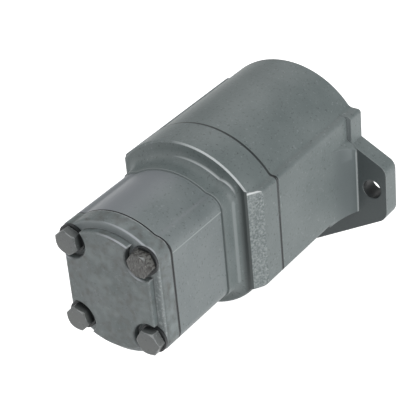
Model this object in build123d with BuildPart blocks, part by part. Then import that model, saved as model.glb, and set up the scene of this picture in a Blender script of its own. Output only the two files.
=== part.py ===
"""Tandem hydraulic vane pump: a large and a small vane cartridge on one drive shaft.

Frame: origin at the centre of the pilot on the mounting face, +Y along the shaft and out of
the drive end, +X to the right seen from the rear cover, +Z up. All lengths are millimetres.
"""

import os
from math import cos, radians, sin, sqrt

from build123d import *

os.makedirs("parts", exist_ok=True)

# ---- mounting end: SAE B two-bolt sizes, with the bolt line below the shaft ----
PILOT_D = 101.6
PILOT_H = 9.5
MOUNT_SPACING = 146.0
MOUNT_HOLE_D = 14.3
FLANGE_T = 14.0
EAR_DROP = 16.0
EAR_MID_DROP = 18.5
EAR_REACH = 84.3
EAR_HALF_H = 23.4
EAR_TOP_R = 8.0
EAR_LOW_R = 10.0
EAR_HUB_R = 58.0
BLOCK_PROUD = 3.0
BLOCK_CORNER_R = 2.5
BLOCK_BLEND_R = 5.0
LEFT_BLOCK_TOP_Z = 17.5
FLARE_L = 29.0
FLARE_OUT = 7.0
FLARE_ROOT = 1.0
FLARE_TOP_Z = 20.0
FLARE_FADE = 7.0

# ---- front body ----
BODY_R = 60.8
SIDE_FLAT = 5.8
CAST_RISE = 1.3
LEDGE_W = 5.78466
BODY_L = 103.5
CAST_BLEND_R = 3.0
LONG_EDGE_R = 3.0
RIM_EDGE = 1.0

# ---- centre housing ----
CENTRE_PROUD = 0.6
CENTRE_FLANGE_L = 27.9
CENTRE_TAPER = 6.7
CENTRE_FLARE_L = 10.4
NECK_L = 14.3
NECK_PROUD = 1.0
NECK_COVE_R = 7.0
SPIGOT_H = 1.5

# ---- rear pump housing and cover ----
REAR_HOUSING_L = 54.8
BOSS_R = 10.4
BOSS_PROUD = 2.65
BOSS_BLEND_R = 8.0
COVER_RIM_T = 13.0
COVER_PAD_T = 5.5
COVER_PAD_INSET = 6.0
COVER_POCKET_R = 12.6
COVER_EDGE_R = 2.0
PAD_EDGE = 0.8
COVER_SPIGOT_H = 0.8

# ---- through bolts ----
BOLT_ANGLE = 46.0
BOLT_WALL = 2.75
BOLT_D = 10.0
BOLT_CLEAR_D = 11.0
BOLT_THREAD_L = 20.0
HEAD_AF = 16.0
HEAD_H = 6.4
WASHER_D = 20.0
WASHER_T = 2.0
TAP_RUNOUT = 4.0

# ---- shaft ----
SHAFT_OUT_L = 41.3
SHAFT_END_D = 22.2
SEAL_LAND_D = 24.0
BEARING_BORE_D = 25.0
COLLAR_D = 30.0
COLLAR_T = 2.0
SHAFT_GROOVE_DEPTH = 0.5
SHAFT_MID_D = 24.0
SHAFT_REAR_D = 20.0
SHAFT_TAIL_D = 16.0
SHAFT_CHAMFER = 1.0
KEY_W = 6.35
KEY_L = 22.0
KEY_END_GAP = 6.0
SPLINE_TEETH = 12
SPLINE_H = 1.2
SPLINE_T = 2.6

# ---- shaft bearing and seal ----
BEARING_OD = 52.0
BEARING_W = 15.0
BEARING_Y = -9.0
RACE_T = 3.4
BALL_D = 7.9
BALL_COUNT = 9
BALL_SIDES = 12
BALL_LATITUDES = (-68.0, -24.0, 24.0, 68.0)
RACE_CLEAR = 0.08
CAGE_W = 11.0
CAGE_T = 2.4
SNAP_T = 1.8
SNAP_DEPTH = 1.5
SNAP_H = 3.0
SNAP_LAND = 1.2
SNAP_GAP_ANGLE = 24.0
SEAL_OD = 40.0
SEAL_W = 8.0
SEAL_RECESS = 1.0
SEAL_SHELL_T = 1.2
SEAL_LIP_W = 3.0
BEARING_SHOULDER_R = 17.5

# ---- front cartridge ----
FRONT_BORE_D = 66.0
FRONT_CAM_WALL = 5.5
FRONT_CAM_LIFT = 3.5
FRONT_PLATE_T = 12.0
FRONT_WEAR_T = 12.0
FRONT_VANES = 12
FRONT_VANE_H = 8.0
FRONT_CHAMBER_L = 17.0

# ---- rear cartridge ----
REAR_BORE_D = 62.0
REAR_CAM_WALL = 6.5
REAR_CAM_LIFT = 3.0
REAR_PLATE_T = 11.0
REAR_WEAR_T = 11.0
REAR_VANES = 10
REAR_VANE_H = 6.5
REAR_CHAMBER_L = 12.0

# ---- cartridge details ----
ROTOR_GAP = 0.3
SPRING_SEAT_W = 4.5
VANE_T = 2.0
VANE_ROOT_R = 1.6
VANE_CLEAR = 0.05
CART_PIN_D = 3.5
KIDNEY_W = 3.6
KIDNEY_SWEEP = 34.0
KIDNEY_IN_ANGLE = 45.0
KIDNEY_OUT_ANGLE = 135.0
KIDNEY_DEPTH = 4.0
DISC_SPRING_T = 0.8
DISC_SPRING_H = 2.0
PLATE_BORE_GAP = 0.4

# ---- bushes, dowels and seals ----
BUSH_T = 2.0
CENTRE_BUSH_L = 18.0
TAIL_BUSH_L = 10.0
DOWEL_D = 6.0
DOWEL_L = 14.0
DOWEL_WALL = 11.0
REAR_DOWEL_D = 4.0
REAR_DOWEL_WALL = 1.85
PLATE_SEAL_W = 2.4
PLATE_SEAL_DEPTH = 2.0
GASKET_T = 0.5
GASKET_INSET = 0.5
GALLERY_WALL = 5.0
GALLERY_W = 6.0
GALLERY_SWEEP = 44.0
GALLERY_DEPTH = 30.0

# ---- ports ----
SUCTION_D = 32.0
SUCTION_BOLT_Y = 30.2
SUCTION_BOLT_Z = 58.7
SUCTION_THREAD_D = 10.0
SUCTION_THREAD_L = 16.0
SUCTION_GROOVE_DEPTH = 6.5
SUCTION_GROOVE_L = 16.0
SUCTION_GROOVE_INSET = 2.0
REAR_INLET_W = 18.0
REAR_INLET_L = 12.0
FRONT_OUTLET_D = 18.6
FRONT_OUTLET_FACE_D = 34.0
REAR_OUTLET_D = 14.9
REAR_OUTLET_FACE_D = 25.0
PORT_FACE_DEPTH = 2.6
OUTLET_DRILL_D = 8.0
OUTLET_LAND = 0.5
OUTLET_ENTRY = 1.0

# ---- fits ----
FIT = 0.05
RUNNING = 0.06
AXIAL_GAP = 0.1
SPLINE_GAP = 0.1

# ---- widths and corners that follow the casting's radius ----
BODY_HALF_W = BODY_R - SIDE_FLAT
BLOCK_HALF_W = BODY_HALF_W + BLOCK_PROUD
CENTRE_R = BODY_R + CENTRE_PROUD
CENTRE_REAR_HALF_W = BODY_HALF_W - CENTRE_TAPER
CORNER_Z = CAST_RISE + sqrt(BODY_R**2 - (BODY_HALF_W - LEDGE_W) ** 2)

# ---- stations along the shaft, from the drive end to the rear ----
BEARING_REAR_Y = BEARING_Y - BEARING_W
BEARING_MID_Y = BEARING_Y - BEARING_W / 2
FRONT_CHAMBER_Y = BEARING_REAR_Y - SNAP_T - SNAP_LAND
FRONT_BORE_Y = FRONT_CHAMBER_Y - FRONT_CHAMBER_L
FRONT_CAM_Y = FRONT_BORE_Y - DISC_SPRING_H - FRONT_PLATE_T
JOINT_Y = -BODY_L
CENTRE_REAR_Y = JOINT_Y - CENTRE_FLANGE_L
NECK_Y = CENTRE_REAR_Y - NECK_L
REAR_CHAMBER_Y = NECK_Y + REAR_CHAMBER_L
REAR_CAM_Y = NECK_Y - DISC_SPRING_H - REAR_PLATE_T
COVER_Y = NECK_Y - REAR_HOUSING_L
RIM_Y = COVER_Y - COVER_RIM_T
HEAD_Y = RIM_Y - WASHER_T

# ---- each rotor is as wide as its bore leaves between the two side plates ----
FRONT_ROTOR_W = FRONT_CAM_Y - (JOINT_Y + SPIGOT_H) - FRONT_WEAR_T
REAR_ROTOR_W = REAR_CAM_Y - (COVER_Y + COVER_SPIGOT_H) - REAR_WEAR_T
SUCTION_Y = FRONT_CAM_Y - FRONT_ROTOR_W / 2
GROOVE_Y = FRONT_CAM_Y - SUCTION_GROOVE_INSET
FRONT_OUTLET_Y = FRONT_BORE_Y + FRONT_OUTLET_D / 2 + OUTLET_LAND
REAR_OUTLET_Y = JOINT_Y - CENTRE_FLANGE_L / 2

# ---- radii that follow the two cartridge bores ----
FRONT_BORE_R = FRONT_BORE_D / 2
REAR_BORE_R = REAR_BORE_D / 2
FRONT_CHAMBER_R = FRONT_BORE_R - SPRING_SEAT_W
REAR_CHAMBER_R = REAR_BORE_R - SPRING_SEAT_W
SUCTION_GROOVE_R = FRONT_BORE_R + SUCTION_GROOVE_DEPTH
GALLERY_R = FRONT_BORE_R + GALLERY_WALL + GALLERY_W / 2
FRONT_DOWEL_X = FRONT_BORE_R + DOWEL_WALL + DOWEL_D / 2
REAR_DOWEL_X = REAR_BORE_R + REAR_DOWEL_WALL + REAR_DOWEL_D / 2
BOLT_CIRCLE_R = FRONT_BORE_R + BOLT_WALL + BOLT_D / 2
BOLT_X = BOLT_CIRCLE_R * cos(radians(BOLT_ANGLE))
BOLT_Z = BOLT_CIRCLE_R * sin(radians(BOLT_ANGLE))
BOLT_SPOTS = [(x, z) for x in (-BOLT_X, BOLT_X) for z in (-BOLT_Z, BOLT_Z)]
REAR_R = BOLT_CIRCLE_R + BOSS_R - BOSS_PROUD
BALL_R = BALL_D / 2
PITCH_R = (BEARING_BORE_D + BEARING_OD) / 4
SHAFT_GROOVE_R = SEAL_LAND_D / 2 - SHAFT_GROOVE_DEPTH


def station(y):
    """A sketch plane across the shaft at y, with X right, Z up and its normal to the rear."""
    return Plane.XZ.offset(-y)


def save(part, name):
    """Label a finished piece and write it as its own STEP file."""
    part.label = name
    export_step(part, f"parts/{name}.step")


def casting_outline(radius):
    """A round casting with flat sides whose square corners stand proud of the circle."""
    with BuildSketch() as outline:
        with Locations((0, CAST_RISE)):
            Circle(radius)
        Rectangle(2 * BODY_HALF_W, 4 * radius, mode=Mode.INTERSECT)
        Rectangle(2 * BODY_HALF_W, 2 * CORNER_Z)
        inner = [v for v in outline.vertices() if abs(v.X) < BODY_HALF_W - CAST_BLEND_R]
        fillet(inner, radius=CAST_BLEND_R)
        outer = [v for v in outline.vertices() if abs(v.X) > BODY_HALF_W - FIT]
        fillet(outer, radius=LONG_EDGE_R)
    return outline.sketch


def barrel_outline():
    """The rear section: a crown above and below, and a boss around each through bolt.

    The two bosses of a side share a straight flank, and each blends into the crown.
    """
    with BuildSketch() as outline:
        Circle(REAR_R)
        Rectangle(2 * BOLT_X + BOSS_R, 2 * REAR_R, mode=Mode.INTERSECT)
        with Locations((-BOLT_X, 0), (BOLT_X, 0)):
            SlotCenterToCenter(2 * BOLT_Z, 2 * BOSS_R, rotation=90)
        inner = [v for v in outline.vertices() if abs(v.X) < BOLT_X + BOSS_R / 2]
        fillet(inner, radius=BOSS_BLEND_R)
    return outline.sketch


def block_outline():
    """The flange's block: full height on the right, cut down on the left."""
    with BuildSketch() as outline:
        with Locations((0, CAST_RISE)):
            Circle(BODY_R)
        with Locations((-BODY_HALF_W, 0)):
            Rectangle(
                BODY_HALF_W + BLOCK_HALF_W,
                4 * BODY_R,
                align=(Align.MIN, Align.CENTER),
                mode=Mode.INTERSECT,
            )
        Rectangle(BLOCK_HALF_W, 2 * CORNER_Z, align=(Align.MIN, Align.CENTER))
        with Locations((0, -CORNER_Z)):
            Rectangle(BLOCK_HALF_W, CORNER_Z + LEFT_BLOCK_TOP_Z, align=(Align.MAX, Align.MIN))
        corners = [v for v in outline.vertices() if abs(v.X) > BLOCK_HALF_W - FIT]
        fillet(corners, radius=BLOCK_CORNER_R)
        roots = [v for v in outline.vertices() if abs(v.X) < BODY_HALF_W - BLOCK_BLEND_R]
        fillet(roots, radius=BLOCK_BLEND_R)
    return outline.sketch


def ear_outline():
    """The two-ear flange plate: the hull of its hub and the ears' rounded ends."""
    with BuildSketch() as outline:
        with BuildLine():
            CenterArc((0, -EAR_MID_DROP), EAR_HUB_R, 0, 360)
            for end, radius in ((1, EAR_TOP_R), (-1, EAR_LOW_R)):
                z = end * (EAR_HALF_H - radius) - EAR_MID_DROP
                CenterArc((EAR_REACH - radius, z), radius, 0, 360)
                CenterArc((radius - EAR_REACH, z), radius, 0, 360)
        make_hull()
    return outline.sketch


def kidneys(radius, first_angle):
    """A pair of opposite kidney slots, centred on first_angle and half a turn on."""
    with BuildSketch() as pair:
        for centre in (first_angle, first_angle + 180):
            arc = CenterArc((0, 0), radius, centre - KIDNEY_SWEEP / 2, KIDNEY_SWEEP)
            SlotArc(arc, KIDNEY_W)
    return pair.sketch


def ring_profile(inner_r, outer_r, front_y, rear_y):
    """The half section of a plain ring around the shaft, in the XY plane."""
    with BuildSketch() as profile:
        with Locations(((inner_r + outer_r) / 2, (front_y + rear_y) / 2)):
            Rectangle(outer_r - inner_r, abs(front_y - rear_y))
    return profile.sketch


BODY_OUTLINE = casting_outline(BODY_R)
CENTRE_OUTLINE = casting_outline(CENTRE_R)
REAR_OUTLINE = barrel_outline()
with BuildSketch() as gallery:
    SlotArc(CenterArc((0, 0), GALLERY_R, 90 - GALLERY_SWEEP / 2, GALLERY_SWEEP), GALLERY_W)
GALLERY = gallery.sketch

# ---- front body: casting with flange, pilot, cartridge bore and ports ----
with BuildPart() as front_body:
    with BuildSketch(station(0)):
        add(BODY_OUTLINE)
    extrude(amount=BODY_L)
    with BuildSketch(station(0)):
        add(ear_outline())
        add(block_outline())
    extrude(amount=FLANGE_T)
    with BuildSketch(station(PILOT_H)):
        Circle(PILOT_D / 2)
    extrude(amount=PILOT_H)
    with BuildSketch(Plane.XY.offset(-CORNER_Z)):
        for side in (-1, 1):
            root = (side * BODY_HALF_W, -FLANGE_T - FLARE_L)
            tip = (side * (BODY_HALF_W + FLARE_OUT), -FLANGE_T)
            inside = (side * (BODY_HALF_W - FLARE_ROOT), -FLANGE_T)
            with BuildLine():
                TangentArc(root, tip, tangent=(0, 1))
                Polyline(tip, inside, root)
            make_face()
    extrude(amount=CORNER_Z + FLARE_TOP_Z)
    with BuildSketch(station(-FLANGE_T)):
        for side in (-1, 1):
            with BuildLine():
                Polyline(
                    (side * BODY_HALF_W, FLARE_TOP_Z),
                    (side * (BODY_HALF_W + FLARE_OUT), FLARE_TOP_Z),
                    (side * (BODY_HALF_W + FLARE_OUT), FLARE_TOP_Z - FLARE_FADE),
                    close=True,
                )
            make_face()
    extrude(amount=FLARE_L, mode=Mode.SUBTRACT)
    with BuildSketch():
        with BuildLine():
            Polyline(
                (0, PILOT_H),
                (SEAL_OD / 2, PILOT_H),
                (SEAL_OD / 2, PILOT_H - SEAL_RECESS - SEAL_W),
                (BEARING_SHOULDER_R, PILOT_H - SEAL_RECESS - SEAL_W),
                (BEARING_SHOULDER_R, BEARING_Y),
                (BEARING_OD / 2 + FIT / 2, BEARING_Y),
                (BEARING_OD / 2 + FIT / 2, BEARING_REAR_Y),
                (BEARING_OD / 2 + SNAP_DEPTH, BEARING_REAR_Y),
                (BEARING_OD / 2 + SNAP_DEPTH, BEARING_REAR_Y - SNAP_T),
                (BEARING_OD / 2 + FIT / 2, BEARING_REAR_Y - SNAP_T),
                (BEARING_OD / 2 + FIT / 2, FRONT_CHAMBER_Y),
                (FRONT_CHAMBER_R, FRONT_CHAMBER_Y),
                (FRONT_CHAMBER_R, FRONT_BORE_Y),
                (FRONT_BORE_R, FRONT_BORE_Y),
                (FRONT_BORE_R, GROOVE_Y),
                (SUCTION_GROOVE_R, GROOVE_Y),
                (SUCTION_GROOVE_R, GROOVE_Y - SUCTION_GROOVE_L),
                (FRONT_BORE_R, GROOVE_Y - SUCTION_GROOVE_L),
                (FRONT_BORE_R, JOINT_Y),
                (0, JOINT_Y),
                close=True,
            )
        make_face()
    revolve(axis=Axis.Y, mode=Mode.SUBTRACT)
    with BuildSketch(station(0)):
        with Locations((-MOUNT_SPACING / 2, -EAR_DROP), (MOUNT_SPACING / 2, -EAR_DROP)):
            Circle(MOUNT_HOLE_D / 2)
    extrude(amount=FLANGE_T, mode=Mode.SUBTRACT)
    with BuildSketch(station(JOINT_Y)):
        with Locations(*BOLT_SPOTS):
            Circle(BOLT_D / 2)
    extrude(amount=-(BOLT_THREAD_L + TAP_RUNOUT), mode=Mode.SUBTRACT)
    with BuildSketch(station(JOINT_Y)):
        with Locations((-FRONT_DOWEL_X, 0), (FRONT_DOWEL_X, 0)):
            Circle(DOWEL_D / 2)
    extrude(amount=-DOWEL_L / 2, mode=Mode.SUBTRACT)
    with BuildSketch(station(JOINT_Y)):
        add(GALLERY)
    extrude(amount=-GALLERY_DEPTH, mode=Mode.SUBTRACT)
    left = Plane(origin=(-BODY_HALF_W, SUCTION_Y, 0), x_dir=(0, 1, 0), z_dir=(-1, 0, 0))
    with BuildSketch(left):
        Circle(SUCTION_D / 2)
    extrude(amount=-(BODY_HALF_W - FRONT_BORE_R), mode=Mode.SUBTRACT)
    with BuildSketch(left):
        with GridLocations(SUCTION_BOLT_Y, SUCTION_BOLT_Z, 2, 2):
            Circle(SUCTION_THREAD_D / 2)
    extrude(amount=-SUCTION_THREAD_L, mode=Mode.SUBTRACT)
    foot_z = CAST_RISE - BODY_R
    outlet = Plane(origin=(0, FRONT_OUTLET_Y, foot_z), x_dir=(1, 0, 0), z_dir=(0, 0, -1))
    with BuildSketch(outlet):
        Circle(FRONT_OUTLET_D / 2)
    extrude(amount=foot_z + FRONT_CHAMBER_R - OUTLET_ENTRY, mode=Mode.SUBTRACT)
    with BuildSketch(outlet):
        Circle(FRONT_OUTLET_FACE_D / 2)
    extrude(amount=-PORT_FACE_DEPTH, mode=Mode.SUBTRACT)
save(front_body.part, "front_body")


# ---- centre housing: flange, flared sides, neck and rear outlet chamber ----
with BuildPart() as centre_housing:
    with BuildSketch(station(JOINT_Y - GASKET_T)):
        add(CENTRE_OUTLINE)
    extrude(amount=CENTRE_FLANGE_L - GASKET_T)
    with BuildSketch():
        for side in (-1, 1):
            with BuildLine():
                Polyline(
                    (side * CENTRE_REAR_HALF_W, CENTRE_REAR_Y),
                    (side * (BODY_HALF_W + CENTRE_FLARE_L), CENTRE_REAR_Y),
                    (side * (BODY_HALF_W + CENTRE_FLARE_L), CENTRE_REAR_Y + CENTRE_FLARE_L),
                    (side * BODY_HALF_W, CENTRE_REAR_Y + CENTRE_FLARE_L),
                    close=True,
                )
            make_face()
    extrude(amount=2 * CENTRE_R, both=True, mode=Mode.SUBTRACT)
    rim = centre_housing.faces().sort_by(Axis.Y)[0].edges()
    chamfer(rim, length=RIM_EDGE)
    with BuildSketch(station(CENTRE_REAR_Y + NECK_PROUD)):
        offset(REAR_OUTLINE, amount=NECK_PROUD)
    extrude(amount=NECK_L + NECK_PROUD)
    neck_half_w = BOLT_X + BOSS_R + NECK_PROUD + FIT
    foot = centre_housing.edges().filter_by_position(
        Axis.Y, CENTRE_REAR_Y - FIT, CENTRE_REAR_Y + FIT
    ).filter_by_position(Axis.X, -neck_half_w, neck_half_w)
    reach = REAR_R + 2 * NECK_PROUD
    fillet([e for e in foot if abs(e.center().Z) < reach], radius=NECK_COVE_R)
    with BuildSketch(station(JOINT_Y + SPIGOT_H)):
        Circle(FRONT_BORE_R - FIT)
    extrude(amount=SPIGOT_H + GASKET_T)
    with BuildSketch():
        with BuildLine():
            Polyline(
                (0, JOINT_Y + SPIGOT_H),
                (SHAFT_REAR_D / 2 + BUSH_T, JOINT_Y + SPIGOT_H),
                (SHAFT_REAR_D / 2 + BUSH_T, REAR_CHAMBER_Y),
                (REAR_CHAMBER_R, REAR_CHAMBER_Y),
                (REAR_CHAMBER_R, NECK_Y),
                (0, NECK_Y),
                close=True,
            )
        make_face()
    revolve(axis=Axis.Y, mode=Mode.SUBTRACT)
    with BuildSketch(station(JOINT_Y)):
        with Locations(*BOLT_SPOTS):
            Circle(BOLT_CLEAR_D / 2)
        add(GALLERY)
    extrude(amount=CENTRE_FLANGE_L + NECK_L, mode=Mode.SUBTRACT)
    with BuildSketch(station(JOINT_Y)):
        with Locations((-FRONT_DOWEL_X, 0), (FRONT_DOWEL_X, 0)):
            Circle(DOWEL_D / 2)
    extrude(amount=DOWEL_L / 2, mode=Mode.SUBTRACT)
    with BuildSketch(station(NECK_Y)):
        with Locations((-REAR_DOWEL_X, 0), (REAR_DOWEL_X, 0)):
            Circle(REAR_DOWEL_D / 2)
    extrude(amount=-DOWEL_L / 2, mode=Mode.SUBTRACT)
    foot_z = CAST_RISE - CENTRE_R
    under = Plane(origin=(0, REAR_OUTLET_Y, foot_z), x_dir=(1, 0, 0), z_dir=(0, 0, -1))
    with BuildSketch(under):
        Circle(REAR_OUTLET_FACE_D / 2)
    extrude(amount=-PORT_FACE_DEPTH, mode=Mode.SUBTRACT)
    with BuildSketch(under):
        Circle(REAR_OUTLET_D / 2)
    extrude(amount=foot_z + REAR_CHAMBER_R - OUTLET_DRILL_D, mode=Mode.SUBTRACT)
    with BuildSketch(station(REAR_OUTLET_Y)):
        with Locations((0, OUTLET_DRILL_D - REAR_CHAMBER_R)):
            Circle(OUTLET_DRILL_D / 2)
    extrude(amount=REAR_OUTLET_Y - REAR_CHAMBER_Y, mode=Mode.SUBTRACT)
save(centre_housing.part, "centre_housing")

# ---- rear pump housing: the smooth machined ring between centre housing and cover ----
with BuildPart() as rear_pump_housing:
    with BuildSketch(station(NECK_Y)):
        add(REAR_OUTLINE)
        Circle(REAR_BORE_R, mode=Mode.SUBTRACT)
        with Locations(*BOLT_SPOTS):
            Circle(BOLT_CLEAR_D / 2, mode=Mode.SUBTRACT)
    extrude(amount=REAR_HOUSING_L)
    with BuildSketch(station(NECK_Y)):
        add(GALLERY)
    extrude(amount=GALLERY_DEPTH, mode=Mode.SUBTRACT)
    with BuildSketch():
        with Locations((0, NECK_Y - GALLERY_DEPTH + REAR_INLET_L / 2)):
            Rectangle(REAR_INLET_W, REAR_INLET_L)
    extrude(amount=GALLERY_R, mode=Mode.SUBTRACT)
    for y, way in ((NECK_Y, 1), (COVER_Y, -1)):
        with BuildSketch(station(y)):
            with Locations((-REAR_DOWEL_X, 0), (REAR_DOWEL_X, 0)):
                Circle(REAR_DOWEL_D / 2)
        extrude(amount=way * DOWEL_L / 2, mode=Mode.SUBTRACT)
save(rear_pump_housing.part, "rear_pump_housing")

# ---- rear cover: rim, raised pad and four corner pockets for the bolt heads ----
with BuildPart() as rear_cover:
    with BuildSketch(station(COVER_Y - GASKET_T)):
        add(REAR_OUTLINE)
    extrude(amount=COVER_RIM_T - GASKET_T)
    fillet(rear_cover.faces().sort_by(Axis.Y)[0].edges(), radius=COVER_EDGE_R)
    with BuildSketch(station(RIM_Y)):
        offset(REAR_OUTLINE, amount=-COVER_PAD_INSET)
        with Locations(*BOLT_SPOTS):
            Circle(COVER_POCKET_R, mode=Mode.SUBTRACT)
        for x, z in BOLT_SPOTS:
            with Locations((2 * x, 2 * z)):
                Rectangle(2 * abs(x), 2 * abs(z), mode=Mode.SUBTRACT)
    extrude(amount=COVER_PAD_T)
    chamfer(rear_cover.faces().sort_by(Axis.Y)[0].edges(), length=PAD_EDGE)
    with BuildSketch(station(COVER_Y + COVER_SPIGOT_H)):
        Circle(REAR_BORE_R - FIT)
    extrude(amount=COVER_SPIGOT_H + GASKET_T)
    with BuildSketch(station(COVER_Y + COVER_SPIGOT_H)):
        Circle(SHAFT_TAIL_D / 2 + BUSH_T)
    extrude(amount=TAIL_BUSH_L + COVER_SPIGOT_H, mode=Mode.SUBTRACT)
    with BuildSketch(station(COVER_Y)):
        with Locations(*BOLT_SPOTS):
            Circle(BOLT_CLEAR_D / 2)
    extrude(amount=COVER_RIM_T, mode=Mode.SUBTRACT)
    with BuildSketch(station(COVER_Y)):
        with Locations((-REAR_DOWEL_X, 0), (REAR_DOWEL_X, 0)):
            Circle(REAR_DOWEL_D / 2)
    extrude(amount=DOWEL_L / 2, mode=Mode.SUBTRACT)
save(rear_cover.part, "rear_cover")

# ---- four long hex bolts with hard washers ----
with BuildPart() as cover_bolts:
    with BuildSketch(station(HEAD_Y)):
        with Locations(*BOLT_SPOTS):
            RegularPolygon(HEAD_AF / 2, 6, major_radius=False)
    extrude(amount=HEAD_H)
    with BuildSketch(station(HEAD_Y)):
        with Locations(*BOLT_SPOTS):
            Circle(BOLT_D / 2)
    extrude(amount=-(BOLT_THREAD_L - HEAD_Y + JOINT_Y))
save(cover_bolts.part, "cover_bolts")

with BuildPart() as cover_washers:
    with BuildSketch(station(RIM_Y)):
        with Locations(*BOLT_SPOTS):
            Circle(WASHER_D / 2)
            Circle(BOLT_D / 2 + 2 * FIT, mode=Mode.SUBTRACT)
    extrude(amount=WASHER_T)
save(cover_washers.part, "cover_washers")

# ---- drive shaft with splines under both rotors ----
TAIL_END_Y = COVER_Y + COVER_SPIGOT_H - TAIL_BUSH_L + AXIAL_GAP
KEY_PLANE = Plane.XY.offset(SHAFT_END_D / 2 - KEY_W / 2)
with BuildSketch() as key_seat:
    with Locations((0, SHAFT_OUT_L - KEY_END_GAP - KEY_L / 2)):
        SlotOverall(KEY_L, KEY_W, rotation=90)
KEY_OUTLINE = key_seat.sketch
with BuildPart() as drive_shaft:
    with BuildSketch():
        with BuildLine():
            Polyline(
                (0, SHAFT_OUT_L),
                (SHAFT_END_D / 2 - SHAFT_CHAMFER, SHAFT_OUT_L),
                (SHAFT_END_D / 2, SHAFT_OUT_L - SHAFT_CHAMFER),
                (SHAFT_END_D / 2, PILOT_H + SHAFT_CHAMFER),
                (SEAL_LAND_D / 2, PILOT_H),
                (SEAL_LAND_D / 2, BEARING_Y + SNAP_T),
                (SHAFT_GROOVE_R, BEARING_Y + SNAP_T),
                (SHAFT_GROOVE_R, BEARING_Y),
                (BEARING_BORE_D / 2, BEARING_Y),
                (BEARING_BORE_D / 2, BEARING_REAR_Y),
                (COLLAR_D / 2, BEARING_REAR_Y),
                (COLLAR_D / 2, BEARING_REAR_Y - COLLAR_T),
                (SHAFT_MID_D / 2, BEARING_REAR_Y - COLLAR_T),
                (SHAFT_MID_D / 2, FRONT_CAM_Y),
                (SHAFT_REAR_D / 2, FRONT_CAM_Y),
                (SHAFT_REAR_D / 2, REAR_CAM_Y),
                (SHAFT_TAIL_D / 2, REAR_CAM_Y),
                (SHAFT_TAIL_D / 2, TAIL_END_Y + SHAFT_CHAMFER),
                (SHAFT_TAIL_D / 2 - SHAFT_CHAMFER, TAIL_END_Y),
                (0, TAIL_END_Y),
                close=True,
            )
        make_face()
    revolve(axis=Axis.Y)
    for y, width, radius in (
        (FRONT_CAM_Y, FRONT_ROTOR_W, SHAFT_REAR_D / 2),
        (REAR_CAM_Y, REAR_ROTOR_W, SHAFT_TAIL_D / 2),
    ):
        with BuildSketch(station(y)):
            with PolarLocations(radius, SPLINE_TEETH):
                Rectangle(2 * SPLINE_H, SPLINE_T)
        extrude(amount=width)
    with BuildSketch(KEY_PLANE):
        add(KEY_OUTLINE)
    extrude(amount=KEY_W, mode=Mode.SUBTRACT)
save(drive_shaft.part, "drive_shaft")

with BuildPart() as shaft_key:
    with BuildSketch(KEY_PLANE):
        add(KEY_OUTLINE)
    extrude(amount=KEY_W)
save(shaft_key.part, "shaft_key")


# ---- the drive-end ball bearing and its snap rings ----
def race(inner_r, outer_r):
    """One bearing ring with the ball track cut into it."""
    with BuildPart() as ring:
        with BuildSketch():
            add(ring_profile(inner_r, outer_r, BEARING_Y, BEARING_REAR_Y))
            with Locations((PITCH_R, BEARING_MID_Y)):
                Circle(BALL_R + RACE_CLEAR, mode=Mode.SUBTRACT)
        revolve(axis=Axis.Y)
    return ring.part


def snap_ring(inner_r, outer_r, front_y):
    """An open spring ring; the gap lets it close into its groove."""
    with BuildPart() as ring:
        with BuildSketch():
            add(ring_profile(inner_r, outer_r, front_y, front_y - SNAP_T))
        revolve(axis=Axis.Y, revolution_arc=360 - SNAP_GAP_ANGLE)
    return ring.part


save(race(BEARING_BORE_D / 2, BEARING_BORE_D / 2 + RACE_T), "bearing_inner_ring")
save(race(BEARING_OD / 2 - RACE_T, BEARING_OD / 2), "bearing_outer_ring")

with BuildPart() as ball:
    for latitude in BALL_LATITUDES:
        with BuildSketch(Plane.XY.offset(BALL_R * sin(radians(latitude)))):
            RegularPolygon(BALL_R * cos(radians(latitude)), BALL_SIDES)
    loft(ruled=True)

with BuildPart() as bearing_balls:
    with Locations(Plane.XZ.offset(-BEARING_MID_Y)):
        with PolarLocations(PITCH_R, BALL_COUNT):
            add(ball.part)
save(bearing_balls.part, "bearing_balls")

with BuildPart() as bearing_cage:
    with BuildSketch():
        with Locations((PITCH_R, BEARING_MID_Y)):
            Rectangle(CAGE_T, CAGE_W)
    revolve(axis=Axis.Y)
    with Locations(Plane.XZ.offset(-BEARING_MID_Y)):
        with PolarLocations(PITCH_R, BALL_COUNT):
            Cylinder(BALL_R + RACE_CLEAR, 2 * CAGE_T, rotation=(0, 90, 0), mode=Mode.SUBTRACT)
save(bearing_cage.part, "bearing_cage")

save(
    snap_ring(BEARING_OD / 2 - SNAP_DEPTH, BEARING_OD / 2 + SNAP_DEPTH, BEARING_REAR_Y),
    "housing_snap_ring",
)
save(
    snap_ring(SHAFT_GROOVE_R, SHAFT_GROOVE_R + SNAP_H, BEARING_Y + SNAP_T),
    "shaft_snap_ring",
)

# ---- shaft seal: steel case and rubber lip ----
SEAL_FRONT_Y = PILOT_H - SEAL_RECESS
SEAL_REAR_Y = SEAL_FRONT_Y - SEAL_W
SHELL_R = SEAL_OD / 2 - SEAL_SHELL_T
LIP_R = SEAL_LAND_D / 2 + RUNNING
with BuildPart() as seal_case:
    with BuildSketch():
        add(ring_profile(SHELL_R, SEAL_OD / 2, SEAL_FRONT_Y, SEAL_REAR_Y))
        add(ring_profile(LIP_R + SEAL_LIP_W, SEAL_OD / 2, SEAL_FRONT_Y, SEAL_FRONT_Y - SEAL_SHELL_T))
    revolve(axis=Axis.Y)
save(seal_case.part, "seal_case")

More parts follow.
